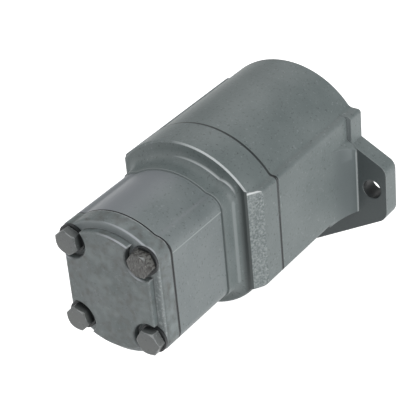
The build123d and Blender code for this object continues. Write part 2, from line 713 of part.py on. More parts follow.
with BuildPart() as seal_lip:
    with BuildSketch():
        with BuildLine():
            Polyline(
                (LIP_R, SEAL_FRONT_Y - SEAL_SHELL_T / 2),
                (LIP_R + SEAL_LIP_W, SEAL_FRONT_Y - SEAL_SHELL_T / 2),
                (LIP_R + SEAL_LIP_W, SEAL_FRONT_Y - SEAL_SHELL_T),
                (SHELL_R, SEAL_FRONT_Y - SEAL_SHELL_T),
                (SHELL_R, SEAL_FRONT_Y - 2 * SEAL_SHELL_T),
                (LIP_R + SEAL_LIP_W / 2, SEAL_FRONT_Y - 2 * SEAL_SHELL_T),
                (LIP_R + SEAL_LIP_W / 2, SEAL_REAR_Y + SEAL_LIP_W / 2),
                (LIP_R, SEAL_REAR_Y + SEAL_LIP_W),
                close=True,
            )
        make_face()
    revolve(axis=Axis.Y)
save(seal_lip.part, "seal_lip")


# ---- cartridge pieces, shared by the front and the rear cartridge ----
def cam_ring(outer_r, minor_r, major_r, front_y, width, pin_r):
    """The cam ring: a round outside and an elliptical track, long across the pump."""
    with BuildPart() as ring:
        with BuildSketch(station(front_y)):
            Circle(outer_r)
            Ellipse(major_r, minor_r, mode=Mode.SUBTRACT)
            with Locations((0, -pin_r), (0, pin_r)):
                Circle(CART_PIN_D / 2, mode=Mode.SUBTRACT)
        extrude(amount=width)
    return ring.part


def rotor(outer_r, root_r, shaft_r, front_y, width, count):
    """The slotted rotor, with a round root under each slot and a splined bore."""
    with BuildPart() as body:
        with BuildSketch(station(front_y - AXIAL_GAP)):
            Circle(outer_r)
            Circle(shaft_r + SPLINE_GAP, mode=Mode.SUBTRACT)
            with PolarLocations(shaft_r, SPLINE_TEETH):
                Rectangle(
                    2 * (SPLINE_H + SPLINE_GAP),
                    SPLINE_T + 2 * SPLINE_GAP,
                    mode=Mode.SUBTRACT,
                )
            with PolarLocations(outer_r, count):
                Rectangle(2 * (outer_r - root_r), VANE_T + 2 * VANE_CLEAR, mode=Mode.SUBTRACT)
            with PolarLocations(root_r, count):
                Circle(VANE_ROOT_R, mode=Mode.SUBTRACT)
        extrude(amount=width - 2 * AXIAL_GAP)
    return body.part


def vanes(tip_r, height, front_y, width, count):
    """The set of flat vanes, one in each rotor slot."""
    with BuildPart() as blades:
        with BuildSketch(station(front_y - AXIAL_GAP)):
            with PolarLocations(tip_r - height / 2, count):
                Rectangle(height, VANE_T)
        extrude(amount=width - 2 * AXIAL_GAP)
    return blades.part


def side_plate(outer_r, bore_r, rotor_y, thick, way, track_r, root_r, pin_r):
    """A port plate: through kidneys for the outlet, blind ones for the inlet."""
    with BuildPart() as plate:
        with BuildSketch(station(rotor_y)):
            Circle(outer_r)
            Circle(bore_r, mode=Mode.SUBTRACT)
        extrude(amount=way * thick)
        with BuildSketch(station(rotor_y)):
            add(kidneys(track_r, KIDNEY_OUT_ANGLE))
        extrude(amount=way * thick, mode=Mode.SUBTRACT)
        with BuildSketch(station(rotor_y)):
            add(kidneys(track_r, KIDNEY_IN_ANGLE))
            Circle(root_r + VANE_ROOT_R)
            Circle(root_r - VANE_ROOT_R, mode=Mode.SUBTRACT)
        extrude(amount=way * KIDNEY_DEPTH / 2, mode=Mode.SUBTRACT)
        with BuildSketch(station(rotor_y)):
            with Locations((0, -pin_r), (0, pin_r)):
                Circle(CART_PIN_D / 2)
        extrude(amount=way * KIDNEY_DEPTH, mode=Mode.SUBTRACT)
        with BuildSketch():
            front_y = rotor_y - (way * thick - PLATE_SEAL_W) / 2
            inner_r = outer_r - PLATE_SEAL_DEPTH
            add(ring_profile(inner_r, 2 * outer_r, front_y, front_y - PLATE_SEAL_W))
        revolve(axis=Axis.Y, mode=Mode.SUBTRACT)
    return plate.part


def plate_seal(outer_r, bore_r, mid_y):
    """The square seal ring in a side plate's outer groove."""
    with BuildPart() as seal:
        with BuildSketch():
            half = PLATE_SEAL_W / 2
            add(ring_profile(outer_r - PLATE_SEAL_DEPTH, bore_r, mid_y + half, mid_y - half))
        revolve(axis=Axis.Y)
    return seal.part


def disc_spring(inner_r, outer_r, seat_y):
    """The conical spring washer that loads a pressure plate."""
    with BuildPart() as spring:
        with BuildSketch():
            with BuildLine():
                Polyline(
                    (inner_r, seat_y - DISC_SPRING_H),
                    (inner_r, seat_y - DISC_SPRING_H + DISC_SPRING_T),
                    (outer_r, seat_y),
                    (outer_r, seat_y - DISC_SPRING_T),
                    close=True,
                )
            make_face()
        revolve(axis=Axis.Y)
    return spring.part


def cartridge_pins(pin_r, front_y, width):
    """The two pins that hold the side plates and cam ring in line."""
    with BuildPart() as pins:
        with BuildSketch(station(front_y + KIDNEY_DEPTH)):
            with Locations((0, -pin_r), (0, pin_r)):
                Circle(CART_PIN_D / 2)
        extrude(amount=width + 2 * KIDNEY_DEPTH)
    return pins.part


def cartridge(side, bore_r, cam_wall, cam_lift, cam_y, width, count, vane_h,
              shaft_r, plate_t, wear_t, plate_bore_r, wear_bore_r, seat_y):
    """Make and save every piece of one cartridge, sized from its bore."""
    outer_r = bore_r - FIT
    major_r = bore_r - cam_wall
    minor_r = major_r - cam_lift
    pin_r = (minor_r + bore_r) / 2
    rotor_r = minor_r - ROTOR_GAP
    tip_r = minor_r - RUNNING
    root_r = tip_r - vane_h
    track_r = (rotor_r + major_r) / 2
    wear_y = cam_y - width
    seat_r = bore_r - SPRING_SEAT_W
    save(cam_ring(outer_r, minor_r, major_r, cam_y, width, pin_r), f"{side}_cam_ring")
    save(rotor(rotor_r, root_r, shaft_r, cam_y, width, count), f"{side}_rotor")
    save(vanes(tip_r, vane_h, cam_y, width, count), f"{side}_vanes")
    plate = side_plate(outer_r, plate_bore_r, cam_y, plate_t, -1, track_r, root_r, pin_r)
    save(plate, f"{side}_pressure_plate")
    wear = side_plate(outer_r, wear_bore_r, wear_y, wear_t, 1, track_r, root_r, pin_r)
    save(wear, f"{side}_wear_plate")
    save(plate_seal(outer_r, bore_r, cam_y + plate_t / 2), f"{side}_pressure_seal")
    save(plate_seal(outer_r, bore_r, wear_y - wear_t / 2), f"{side}_wear_seal")
    save(disc_spring(seat_r + FIT, bore_r - 2 * FIT, seat_y), f"{side}_disc_spring")
    save(cartridge_pins(pin_r, cam_y, width), f"{side}_cartridge_pins")


cartridge(
    side="front",
    bore_r=FRONT_BORE_R,
    cam_wall=FRONT_CAM_WALL,
    cam_lift=FRONT_CAM_LIFT,
    cam_y=FRONT_CAM_Y,
    width=FRONT_ROTOR_W,
    count=FRONT_VANES,
    vane_h=FRONT_VANE_H,
    shaft_r=SHAFT_REAR_D / 2,
    plate_t=FRONT_PLATE_T,
    wear_t=FRONT_WEAR_T,
    plate_bore_r=SHAFT_MID_D / 2 + PLATE_BORE_GAP,
    wear_bore_r=SHAFT_REAR_D / 2 + SPLINE_H + PLATE_BORE_GAP,
    seat_y=FRONT_BORE_Y,
)
cartridge(
    side="rear",
    bore_r=REAR_BORE_R,
    cam_wall=REAR_CAM_WALL,
    cam_lift=REAR_CAM_LIFT,
    cam_y=REAR_CAM_Y,
    width=REAR_ROTOR_W,
    count=REAR_VANES,
    vane_h=REAR_VANE_H,
    shaft_r=SHAFT_TAIL_D / 2,
    plate_t=REAR_PLATE_T,
    wear_t=REAR_WEAR_T,
    plate_bore_r=SHAFT_REAR_D / 2 + PLATE_BORE_GAP,
    wear_bore_r=SHAFT_TAIL_D / 2 + PLATE_BORE_GAP,
    seat_y=NECK_Y,
)


# ---- bushes, dowels and gaskets ----
def bush(shaft_r, front_y, length):
    """A plain bronze bush that the shaft runs in."""
    with BuildPart() as sleeve:
        with BuildSketch():
            add(ring_profile(shaft_r + RUNNING, shaft_r + BUSH_T, front_y, front_y - length))
        revolve(axis=Axis.Y)
    return sleeve.part


save(bush(SHAFT_REAR_D / 2, JOINT_Y, CENTRE_BUSH_L), "centre_bush")
save(bush(SHAFT_TAIL_D / 2, COVER_Y, TAIL_BUSH_L), "tail_bush")


def dowels(x, radius, joints):
    """A pair of dowel pins across each joint."""
    with BuildPart() as pins:
        for y in joints:
            with BuildSketch(station(y)):
                with Locations((-x, 0), (x, 0)):
                    Circle(radius)
            extrude(amount=DOWEL_L / 2, both=True)
    return pins.part


save(dowels(FRONT_DOWEL_X, DOWEL_D / 2, [JOINT_Y]), "body_dowels")
save(dowels(REAR_DOWEL_X, REAR_DOWEL_D / 2, [NECK_Y, COVER_Y]), "rear_dowels")


def gasket(outline, front_y, bore_r, dowel_x, dowel_r):
    """A thin sheet gasket, cut just inside the castings' outline."""
    with BuildPart() as sheet:
        with BuildSketch(station(front_y)):
            offset(outline, amount=-GASKET_INSET)
            Circle(bore_r, mode=Mode.SUBTRACT)
            with Locations(*BOLT_SPOTS):
                Circle(BOLT_CLEAR_D / 2, mode=Mode.SUBTRACT)
            with Locations((-dowel_x, 0), (dowel_x, 0)):
                Circle(dowel_r, mode=Mode.SUBTRACT)
            if front_y == JOINT_Y:
                add(GALLERY, mode=Mode.SUBTRACT)
        extrude(amount=GASKET_T)
    return sheet.part


save(gasket(BODY_OUTLINE, JOINT_Y, FRONT_BORE_R, FRONT_DOWEL_X, DOWEL_D / 2), "body_gasket")
save(gasket(REAR_OUTLINE, COVER_Y, REAR_BORE_R, REAR_DOWEL_X, REAR_DOWEL_D / 2), "cover_gasket")
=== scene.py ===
"""Dresses the tandem hydraulic vane pump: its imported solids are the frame, and this script gives
every piece its finish, then sets the floor, the studio light and the camera."""

from math import radians

import bmesh
import bpy
import numpy as np
from mathutils import Matrix, Vector


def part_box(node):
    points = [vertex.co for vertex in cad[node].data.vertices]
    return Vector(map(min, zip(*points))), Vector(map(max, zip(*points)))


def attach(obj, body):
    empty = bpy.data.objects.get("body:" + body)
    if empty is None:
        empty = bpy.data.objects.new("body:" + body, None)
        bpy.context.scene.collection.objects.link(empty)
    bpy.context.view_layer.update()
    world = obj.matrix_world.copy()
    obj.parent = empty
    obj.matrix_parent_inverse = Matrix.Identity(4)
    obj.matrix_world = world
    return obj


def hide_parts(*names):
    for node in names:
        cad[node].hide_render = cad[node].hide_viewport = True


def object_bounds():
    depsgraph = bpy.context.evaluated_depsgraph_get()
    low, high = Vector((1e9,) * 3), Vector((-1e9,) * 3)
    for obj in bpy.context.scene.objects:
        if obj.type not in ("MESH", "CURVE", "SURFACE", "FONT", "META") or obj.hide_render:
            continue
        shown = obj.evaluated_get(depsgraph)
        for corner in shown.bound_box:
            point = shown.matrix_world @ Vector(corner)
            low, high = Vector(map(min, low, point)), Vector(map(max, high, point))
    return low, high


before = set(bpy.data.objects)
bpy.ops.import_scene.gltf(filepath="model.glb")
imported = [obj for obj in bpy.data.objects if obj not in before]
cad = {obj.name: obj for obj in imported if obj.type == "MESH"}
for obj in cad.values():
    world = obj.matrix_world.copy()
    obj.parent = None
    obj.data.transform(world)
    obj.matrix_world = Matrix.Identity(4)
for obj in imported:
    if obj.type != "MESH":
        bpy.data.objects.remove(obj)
cad_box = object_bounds()

# ---- front body -------------------------------------------------------------------------------
# The largest casting: grey iron, sand cast, with its flat sides and joint faces machined. It is
# sprayed in one coat of satin grey-green machinery enamel after assembly, over every joint.
CLOUD_MM = 35
DUST_MM = 2
GRIT_MM = 1.7
DUST = "#9aa1a2"
GRIT = "#3f4647"
# The pale of edges is partly wear and partly a painted highlight; the near-black of corners is grime
# and painted shade.
RUBBED_AND_HIGHLIT = "#d4d9da"
GRIME_AND_SHADE = "#1b1f20"
JOINT_DARK = "#2b3132"
RIGHT = (1, 0, 0)
FRONT = (0, 1, 0)
REAR = (0, -1, 0)
# The way the light comes from, along which edges get a painted highlight.
WEAR_AND_HIGHLIGHT_WAY = (0.45, -0.2, 0.87)
FLANGE_BACK = -0.014
EAR_MID = 0.0775
EAR_HALF_MM = 15.5
LOW_MID = -0.07
LOW_HALF_MM = 45
HOLE_X = 0.073
HOLE_Z = -0.016
HOLE_REACH_MM = 7.25
BLOCK_STEP_X = 0.057
BLOCK_STEP_Z = 0.030
FLARE_WAY = (0.90, -0.44, 0)
FLARE_HALF_MM = 14
FLARE_END_Z = -0.03


def hex_colour(code):
    """Linear RGBA of an sRGB hex colour: each channel to the power law of the sRGB standard."""
    channels = [int(code[i : i + 2], 16) / 255 for i in (1, 3, 5)]
    linear = [c / 12.92 if c <= 0.04045 else ((c + 0.055) / 1.055) ** 2.4 for c in channels]
    return (*linear, 1.0)


def add(material, kind, inputs=None, **settings):
    """Adds a node of a kind to a material, with its settings, and its inputs as values or links."""
    node = material.node_tree.nodes.new(kind)
    for name, value in settings.items():
        setattr(node, name, value)
    for socket, value in (inputs or {}).items():
        if isinstance(value, bpy.types.NodeSocket):
            material.node_tree.links.new(value, node.inputs[socket])
        else:
            node.inputs[socket].default_value = value
    return node


def new_finish(name):
    """An empty material, ready for a shader and an output."""
    material = bpy.data.materials.new(name)
    material.use_nodes = True
    material.node_tree.nodes.clear()
    return material


def dress(node_name, finish):
    """Gives a CAD node one finish all over."""
    mesh = cad[node_name].data
    mesh.materials.clear()
    mesh.materials.append(finish)


def faces(paint, way, least, most):
    """A mask that is 1 where the surface looks along a direction: its cosine, from least to most."""
    normal = add(paint, "ShaderNodeNewGeometry").outputs["Normal"]
    cosine = add(paint, "ShaderNodeVectorMath", {0: normal, 1: Vector(way).normalized()},
                 operation="DOT_PRODUCT")
    return add(paint, "ShaderNodeMapRange", {"Value": cosine.outputs["Value"],
               "From Min": least, "From Max": most}).outputs["Result"]


def near(paint, axis, place, half_mm, fade_mm=0.3):
    """A mask that is 1 within half_mm of a place on an axis, and 0 a further fade_mm away."""
    spot = add(paint, "ShaderNodeTexCoord").outputs["Object"]
    along = add(paint, "ShaderNodeSeparateXYZ", {"Vector": spot}).outputs[axis]
    off = add(paint, "ShaderNodeMath", {0: along, 1: place}, operation="SUBTRACT")
    gap = add(paint, "ShaderNodeMath", {0: off.outputs["Value"]}, operation="ABSOLUTE")
    return add(paint, "ShaderNodeMapRange", {"Value": gap.outputs["Value"],
               "From Min": (half_mm + fade_mm) / 1000, "From Max": half_mm / 1000}).outputs["Result"]


def flecks(paint, size_mm, least, most):
    """A mask of scattered flecks about size_mm across: fine noise, cut off from least to most."""
    spot = add(paint, "ShaderNodeTexCoord").outputs["Object"]
    noise = add(paint, "ShaderNodeTexNoise", {"Vector": spot, "Scale": 1000 / size_mm, "Detail": 1.0})
    return add(paint, "ShaderNodeMapRange", {"Value": noise.outputs["Fac"],
               "From Min": least, "From Max": most}).outputs["Result"]


def combine(paint, *masks, how="MULTIPLY"):
    """Masks taken together in turn: their product, where all of them lie, or the MAXIMUM."""
    together = masks[0]
    for mask in masks[1:]:
        together = add(paint, "ShaderNodeMath", {0: together, 1: mask}, operation=how).outputs["Value"]
    return together


def enamel(name, grain_mm, grain_depth_mm, edge_mm, edge_wear_and_highlight, shades=("#6a7474", "#788181"),
           gloss=(0.40, 0.54), grime_and_shade_mm=7, zones=()):
    """Satin machinery enamel, sprayed over iron. It shows as one grey-green coat with a soft, broad
    highlight. Two shades drift in clouds CLOUD_MM wide. Sand-cast grain grain_mm across shows
    through the coat, grain_depth_mm deep. Pale dust and dark grit lie on it as specks, drawn
    coarser than real ones so that they show. A ray test inwards finds the outer edges, which are
    paler over edge_mm, partly as wear and partly as a painted highlight, strongest where they face
    the light. One outwards finds the corners, which are darkened as grime and painted shade out to
    the given distance. zones are pairs of a function that gives a mask, and the colour that is laid
    over all the rest there. Those masks stand at places on the pump."""
    paint = new_finish(name)
    spot = add(paint, "ShaderNodeTexCoord").outputs["Object"]
    cloud = add(paint, "ShaderNodeTexNoise", {"Vector": spot, "Scale": 1000 / CLOUD_MM, "Detail": 4.0})
    grain = add(paint, "ShaderNodeTexNoise",
                {"Vector": spot, "Scale": 1000 / grain_mm, "Detail": 3.0, "Roughness": 0.6})
    drift = add(paint, "ShaderNodeMapRange",
                {"Value": cloud.outputs["Fac"], "From Min": 0.35, "From Max": 0.65})
    coat = add(paint, "ShaderNodeMix", {"Factor": drift.outputs["Result"],
               "A": hex_colour(shades[0]), "B": hex_colour(shades[1])}, data_type="RGBA")

    # Edges: how far paled, as wear in uneven patches that follow the grain, and as a painted highlight
    # where they face the light.
    rounded = add(paint, "ShaderNodeBevel", {"Radius": edge_mm / 1000}, samples=6)
    within = add(paint, "ShaderNodeAmbientOcclusion", {"Distance": edge_mm / 1000},
                 samples=8, inside=True, only_local=True)
    edges = add(paint, "ShaderNodeMapRange", {"Value": within.outputs["AO"],
                "From Min": 0.92, "From Max": 0.55, "To Max": edge_wear_and_highlight})
    uneven = add(paint, "ShaderNodeMapRange", {"Value": grain.outputs["Fac"],
                 "From Min": 0.35, "From Max": 0.6, "To Min": 0.35})
    toward_light = add(paint, "ShaderNodeVectorMath",
                 {0: rounded.outputs["Normal"], 1: WEAR_AND_HIGHLIGHT_WAY}, operation="DOT_PRODUCT")
    highlight_weight = add(paint, "ShaderNodeMapRange", {"Value": toward_light.outputs["Value"],
                "From Min": 0.1, "From Max": 0.8, "To Min": 0.2})
    rubbed_and_highlit = combine(paint, uneven.outputs["Result"], highlight_weight.outputs["Result"], edges.outputs["Result"])
    # Corners: painted shade, with grime, where the outward ray test finds them hemmed in.
    around = add(paint, "ShaderNodeAmbientOcclusion", {"Distance": grime_and_shade_mm / 1000}, samples=8)
    corner_shade = add(paint, "ShaderNodeMapRange", {"Value": around.outputs["AO"],
                  "From Min": 0.78, "From Max": 0.25, "To Max": 0.9})

    layers = [(flecks(paint, DUST_MM, 0.64, 1.0), DUST), (flecks(paint, GRIT_MM, 0.38, 0.10), GRIT),
              (rubbed_and_highlit, RUBBED_AND_HIGHLIT), (corner_shade.outputs["Result"], GRIME_AND_SHADE)]
    for mask, colour in layers + [(zone(paint), tone) for zone, tone in zones]:
        coat = add(paint, "ShaderNodeMix", {"Factor": mask, "A": coat.outputs["Result"],
                   "B": hex_colour(colour)}, data_type="RGBA")
    relief = add(paint, "ShaderNodeBump",
                 {"Height": grain.outputs["Fac"], "Distance": grain_depth_mm / 1000,
                  "Strength": 0.7, "Normal": rounded.outputs["Normal"]})
    sheen = add(paint, "ShaderNodeMapRange",
                {"Value": cloud.outputs["Fac"], "To Min": gloss[0], "To Max": gloss[1]})
    shader = add(paint, "ShaderNodeBsdfPrincipled",
                 {"Base Color": coat.outputs["Result"], "Roughness": sheen.outputs["Result"],
                  "Normal": relief.outputs["Normal"], "IOR": 1.5})
    add(paint, "ShaderNodeOutputMaterial", {"Surface": shader.outputs["BSDF"]})
    return paint


def joint_line(gasket, half_mm):
    """A mask over the dark line of a joint, half_mm each side of its gasket."""
    low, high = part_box(gasket)
    return lambda paint: near(paint, "Y", (low[1] + high[1]) / 2, half_mm)


def ear_shade(paint):
    """The flange's rear face, on the ears and low down, toned darker: painted shade, where the body
    shadows it.
    """
    dark = combine(paint, near(paint, "X", EAR_MID, EAR_HALF_MM, 0.5),
                   near(paint, "X", -EAR_MID, EAR_HALF_MM, 0.5),
                   near(paint, "Z", LOW_MID, LOW_HALF_MM, 6), how="MAXIMUM")
    return combine(paint, faces(paint, REAR, 0.8, 0.95), near(paint, "Y", FLANGE_BACK, 1, 0.5), dark)


def block_step_light(paint):
    """The pale step from the side to the upper right block: painted light over a face that lies in
    shade.
    """
    return combine(paint, faces(paint, (0.3, -1, 0), 0.5, 0.8),
                   near(paint, "X", BLOCK_STEP_X, 3, 0.5), near(paint, "Z", BLOCK_STEP_Z, 22, 2))


def hole_wall_shade(paint):
    """The walls of the two flange holes, toned dark as painted shade inside the holes."""
    beside = combine(paint, near(paint, "X", HOLE_X, HOLE_REACH_MM, 0.1),
                     near(paint, "X", -HOLE_X, HOLE_REACH_MM, 0.1), how="MAXIMUM")
    return combine(paint, beside, near(paint, "Z", HOLE_Z, HOLE_REACH_MM, 0.1),
                   faces(paint, REAR, 0.4, 0.1), faces(paint, FRONT, 0.4, 0.1))


def flare_hollow_shade(paint):
    """The hollow side of the flare, duller than the flat beside it: painted shade where it turns away
    from the light.
    """
    return combine(paint, near(paint, "Y", FLANGE_BACK - FLARE_HALF_MM / 1000, FLARE_HALF_MM, 1),
                   faces(paint, FLARE_WAY, 0.93, 0.985))


def flare_end_highlight(paint):
    """The edge where the side's flare ends on the flange, a painted highlight."""
    return combine(paint, near(paint, "Y", FLANGE_BACK - 0.0005, 0.6), faces(paint, RIGHT, 0.5, 0.8),
                   near(paint, "Z", FLARE_END_Z, 40, 4))


dress("front_body", enamel(
    "body enamel", grain_mm=2.2, grain_depth_mm=0.20, edge_mm=1.2, edge_wear_and_highlight=0.3,
    zones=[(joint_line("body_gasket", 1.1), JOINT_DARK), (flare_hollow_shade, "#666f70"),
           (ear_shade, "#4f5758"), (block_step_light, "#8a9293"), (hole_wall_shade, "#2e3435"),
           (flare_end_highlight, "#a9b0b0")]))

# ---- centre housing ---------------------------------------------------------------------------
# Grey iron again. Its arc and sides are machined with the front body, and the slanted strip
# behind the sides is left as cast, so it is coarse; where it catches the light, its glints are painted
# as bright specks.
NECK_L = 0.0143
STRIP_L = 0.0104
NECK_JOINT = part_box("rear_pump_housing")[1][1]
REAR_FACE_Y = NECK_JOINT + NECK_L
REAR_FACE_EDGE = 0.0489
STRIP_WAY = (0.84, -0.54, 0)
STRIP_HALF_MM = 5.6
STRIP_TOP = 0.0365
COVE_WAY = (0.86, -0.5, 0)
COVE_MID = 0.0425
COVE_BEHIND = 0.004
GLINT_WAY = (0.35, -0.7, 0.62)


def strip(paint):
    """The slanted strip at each side."""
    return combine(paint, faces(paint, STRIP_WAY, 0.96, 0.99),
                   near(paint, "Y", REAR_FACE_Y + STRIP_L / 2, STRIP_HALF_MM))


def cast_specks_and_glints(paint):
    """The bright specks of the slanted strip, partly its coarse cast skin and partly painted glints,
    1.5 mm across, coarser than the sand's own grain.
    """
    return combine(paint, strip(paint), flecks(paint, 1.5, 0.36, 0.74))


def strip_top_highlight(paint):
    """The upper end of the slanted strip, a painted highlight."""
    return combine(paint, strip(paint), near(paint, "Z", STRIP_TOP, 0.5, 0.6))


def strip_shade(paint):
    """The dark band on the rear face beside the slanted strip, painted shade."""
    return combine(paint, faces(paint, REAR, 0.55, 0.9), near(paint, "X", REAR_FACE_EDGE, 3.5, 3.5))


def cove_highlight(paint):
    """The pale line along the cove beside that band, a painted highlight."""
    return combine(paint, faces(paint, COVE_WAY, 0.975, 0.996), near(paint, "X", COVE_MID, 3.0, 1.0),
                   near(paint, "Y", REAR_FACE_Y - COVE_BEHIND, 4.5))


def edge_glint(paint):
    """The part of a rear edge that looks up and back to the right, with a painted highlight."""
    return faces(paint, GLINT_WAY, 0.90, 0.985)


def rim_glint(paint):
    """The edge of the rear arc, with a painted highlight from its middle to its right end."""
    return combine(paint, edge_glint(paint), near(paint, "Y", REAR_FACE_Y, 1.2))


def neck_joint(paint):
    """The joint to the ring, painted over so that it holds no grime."""
    return near(paint, "Y", NECK_JOINT, 0.9)


def neck_step_highlight(paint):
    """The step of the neck at the ring, pale on the arc as a painted highlight."""
    return combine(paint, near(paint, "Y", NECK_JOINT, 0.5), faces(paint, (0.2, -0.6, 1), 0.3, 0.7))


dress("centre_housing", enamel(
    "centre housing enamel", grain_mm=2.0, grain_depth_mm=0.24, edge_mm=1.2, edge_wear_and_highlight=0.9,
    zones=[(joint_line("body_gasket", 1.1), JOINT_DARK), (strip_shade, "#424949"),
           (cove_highlight, "#8e9696"), (cast_specks_and_glints, "#a3aaaa"), (strip_top_highlight, "#e6eaea"),
           (rim_glint, "#d6dcdd"), (neck_joint, "#6d7676"), (neck_step_highlight, "#8f9798")]))

# ---- rear pump housing ------------------------------------------------------------------------
# A ring turned and milled all over, so its enamel lies smooth. Paint has filled the joint to the
# neck in front, and the joint to the cover behind is open and dark, widest on the sides.
TOP_WAY = (-0.32, 0, 0.95)
BOSS_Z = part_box("cover_washers")[1][2] - 0.010
SIDE_JOINT_DARK = "#23282a"


def top_sheen(paint):
    """A painted sheen of cooler grey along the top, strongest left of the middle."""
    return faces(paint, TOP_WAY, 0.82, 1.0)


def neck_highlight(paint):
    """The pale line along the joint to the neck, on the arc, a painted highlight."""
    return combine(paint, near(paint, "Y", NECK_JOINT, 0.9), faces(paint, (0.2, 0, 1), 0.3, 0.7))


def side_edge_highlight(paint):
    """A painted highlight as a fine line along each side where the turned corner meets the milled
    flat.
    """
    return combine(paint, near(paint, "Z", BOSS_Z, 0.25, 0.3), faces(paint, RIGHT, 0.85, 0.95))


def side_joint(paint):
    """The wider part of the cover's joint, on the right side."""
    return combine(paint, joint_line("cover_gasket", 1.0)(paint), faces(paint, RIGHT, 0.6, 0.9))


dress("rear_pump_housing", enamel(
    "ring enamel", grain_mm=3.0, grain_depth_mm=0.05, edge_mm=1.2, edge_wear_and_highlight=0.7,
    shades=("#727b7c", "#7f8788"), gloss=(0.36, 0.48),
    zones=[(top_sheen, "#84898e"), (neck_joint, "#6d7676"), (neck_highlight, "#868e8f"),
           (side_edge_highlight, "#9ca4a4"), (joint_line("cover_gasket", 0.45), JOINT_DARK),
           (side_joint, SIDE_JOINT_DARK)]))

# ---- rear cover -------------------------------------------------------------------------------
# A cast cover with a raised pad, painted as cast apart from its machined rim. The ledge between
# them is paler and flecked, with painted light on its right side, and the rim's edge carries a painted
# highlight.
LEDGE_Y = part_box("rear_cover")[0][1] + 0.0055
LEDGE_RIGHT = 0.036


def rust_blots(paint):
    """Faint brown blots under the coat, about 5 mm across."""
    return flecks(paint, 5, 0.45, 0.95)


def pale_patches(paint):
    """Patches about 9 mm across where the coat is thicker and paler."""
    return flecks(paint, 9, 0.48, 1.0)


def ledge(paint):
    """The ledge between pad and rim."""
    return combine(paint, near(paint, "Y", LEDGE_Y, 0.4, 0.6), faces(paint, (0.2, -1, 0), 0.6, 0.9))


def pale_ledge(paint):
    """The ledge's pale film, even, thinning out within 3 mm of the pockets' walls."""
    clear = add(paint, "ShaderNodeAmbientOcclusion", {"Distance": 0.003}, samples=8)
    film = add(paint, "ShaderNodeMapRange", {"Value": clear.outputs["AO"],
               "From Min": 0.3, "From Max": 0.6, "To Max": 0.8})
    return combine(paint, ledge(paint), film.outputs["Result"])


def lit_right_ledge(paint):
    """The right side of the ledge, paler still: painted light on the side that faces the right lamp.
    """
    return combine(paint, ledge(paint), near(paint, "X", LEDGE_RIGHT, 4.6, 0.6))


def ledge_flecks(paint):
    """Bare bright flecks on the right of the ledge, drawn 1.6 mm across so that they show."""
    return combine(paint, lit_right_ledge(paint), flecks(paint, 1.6, 0.54, 0.68))


dress("rear_cover", enamel(
    "cover enamel", grain_mm=2.4, grain_depth_mm=0.34, edge_mm=1.6, edge_wear_and_highlight=0.9,
    shades=("#646e6e", "#787f80"), grime_and_shade_mm=3.5,
    zones=[(rust_blots, "#545350"), (pale_patches, "#8f9999"), (pale_ledge, "#8d9496"),
           (lit_right_ledge, "#99a1a2"), (ledge_flecks, "#bcc3c3"), (edge_glint, "#b9bec3"),
           (joint_line("cover_gasket", 0.45), JOINT_DARK), (side_joint, SIDE_JOINT_DARK)]))

# ---- cover bolts ------------------------------------------------------------------------------
# M10 hexagon bolts of tempered steel, forged with chamfered heads and painted thinly with the
# pump. The upper right one is bare steel, brownish and scratched.
HEAD_FLAT_R = 0.008
HEAD_H = 0.0064
HEAD_FACE_R = 0.0077
SHANK_R = 0.005
CHAMFER = radians(30)
WASHER_R = 0.010
HEAD_TURNS = {(-1, 1): -22, (1, 1): -6, (-1, -1): -13, (1, -1): 0}
SCRATCH_LEAN = radians(35)
RIDGE_WAY = (0.3, -0.75, 0.6)
washer_low, washer_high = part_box("cover_washers")
bolt_out = washer_high[0] - WASHER_R
bolt_up = washer_high[2] - WASHER_R
bolt_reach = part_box("cover_bolts")[1][1] - washer_low[1]


def hex_bolt(turn, place, columns=72):
    """A hexagon bolt along Y as a grid of profile rows by angles. A flat's radius is the inner
    radius over the cosine of the angle from the flat's middle; the chamfer is a cone at 30
    degrees, so its rim falls by the radius past the face times the tangent of 30 degrees."""
    angle = np.arange(columns) * 2 * np.pi / columns
    from_flat = np.mod(angle - radians(turn), np.pi / 3) - np.pi / 6
    hexagon = HEAD_FLAT_R / np.cos(from_flat)
    rim_h = HEAD_H - (hexagon - HEAD_FACE_R) * np.tan(CHAMFER)
    even = np.ones(columns)
    radius = np.stack([HEAD_FACE_R * even, hexagon, hexagon, SHANK_R * even, SHANK_R * even])
    height = np.stack([HEAD_H * even, rim_h, 0 * even, 0 * even, -bolt_reach * even])
    rows = np.stack([place[0] + radius * np.cos(angle), washer_low[1] - height,
                     place[1] + radius * np.sin(angle)], axis=-1).reshape(-1, 3)
    poles = [(place[0], washer_low[1] - HEAD_H, place[1]),
             (place[0], washer_low[1] + bolt_reach, place[1])]
    here = np.arange(columns)
    after = np.roll(here, -1)
    steps = np.arange(len(radius) - 1)[:, None] * columns
    walls = np.stack([steps + here, steps + columns + here, steps + columns + after, steps + after],
                     axis=-1).reshape(-1, 4)
    last = (len(radius) - 1) * columns
    face = np.stack([np.full(columns, len(rows)), here, after], axis=-1)
    tip = np.stack([np.full(columns, len(rows) + 1), last + after, last + here], axis=-1)
    return np.vstack([rows, poles]), walls, np.vstack([face, tip])


points, polygons = [], []
for (side, level), turn in HEAD_TURNS.items():
    bolt_points, walls, ends = hex_bolt(turn, (side * bolt_out, level * bolt_up))
    start = sum(len(group) for group in points)
    points.append(bolt_points)
    polygons += (walls + start).tolist() + (ends + start).tolist()
bolt_mesh = bpy.data.meshes.new("hex_bolts")
bolt_mesh.from_pydata(np.vstack(points).tolist(), [], polygons)
shell = bmesh.new()
shell.from_mesh(bolt_mesh)
bmesh.ops.recalc_face_normals(shell, faces=shell.faces)
shell.to_mesh(bolt_mesh)
shell.free()
bolts = bpy.data.objects.new("hex_bolts", bolt_mesh)
bpy.context.scene.collection.objects.link(bolts)


